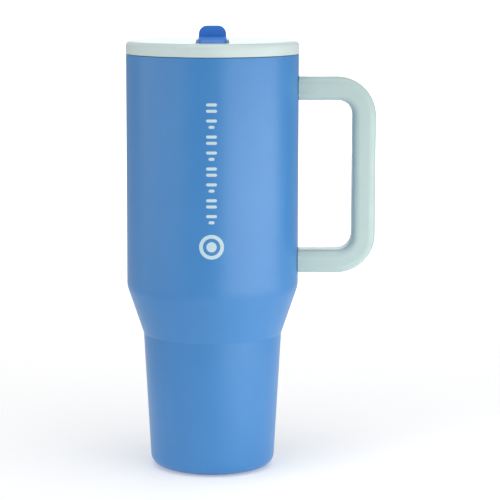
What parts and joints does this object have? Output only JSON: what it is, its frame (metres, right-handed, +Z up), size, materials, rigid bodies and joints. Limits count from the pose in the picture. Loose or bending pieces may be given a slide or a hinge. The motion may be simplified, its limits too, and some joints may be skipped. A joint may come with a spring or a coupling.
{
  "type": "insulated water jug",
  "caption": "Tall double-walled steel jug with a side handle, a narrow foot and a screw-on lid whose drinking spout folds into a slot.",
  "frame": {"origin": "centre of the resting face, on the axis of the vessel", "axes": "+Z up along the vessel, +X towards the handle, -Y towards the front, where the thumb tab of the spout is"},
  "size_m": [0.1447, 0.1002, 0.2594],
  "materials": {
    "blue_coat": "satin powder coat",
    "steel": "brushed",
    "getter_metal": "matt",
    "solder": "dull",
    "dark_silicone": "matt",
    "mint_plastic": "satin",
    "mint_lid": "satin",
    "white_plastic": "satin",
    "clear_silicone": "soft matt",
    "straw_plastic": "satin",
    "screw_steel": "plain",
    "deep_blue_plastic": "satin"
  },
  "bodies": {
    "vessel": {"outer_shell": "blue_coat", "base_cup": "blue_coat", "liner": "steel", "getter": "getter_metal", "vacuum_seal": "solder", "base_pad": "dark_silicone", "upper_bracket": "steel", "lower_bracket": "steel", "handle": "mint_plastic", "handle_screws": "screw_steel", "screw_caps": "mint_plastic"},
    "lid_seal": {"lid_gasket": "clear_silicone"},
    "lid": {"lid_cover": "mint_lid", "lid_plug": "white_plastic", "spout_seat": "clear_silicone", "vent_valve": "clear_silicone", "straw_grommet": "clear_silicone", "straw": "straw_plastic", "spout_pins": "screw_steel"},
    "spout": {"spout": "deep_blue_plastic"}
  },
  "joints": [
    {"name": "lid_rise", "type": "slide", "parent": "vessel", "child": "lid_seal", "axis": [0, 0, 1], "range_m": [0, 0.0151]},
    {"name": "lid_turn", "type": "hinge", "parent": "lid_seal", "child": "lid", "pos_m": [0, 0, 0.2428], "axis": [0, 0, 1], "range_deg": [0, 360]},
    {"name": "spout_flip", "type": "hinge", "parent": "lid", "child": "spout", "pos_m": [0, -0.027, 0.2453], "axis": [1, 0, 0], "range_deg": [0, 90]}
  ],
  "couplings": [
    {"joint": "lid_rise", "follows": "lid_turn", "m_per_rad": 0.0023873}
  ]
}
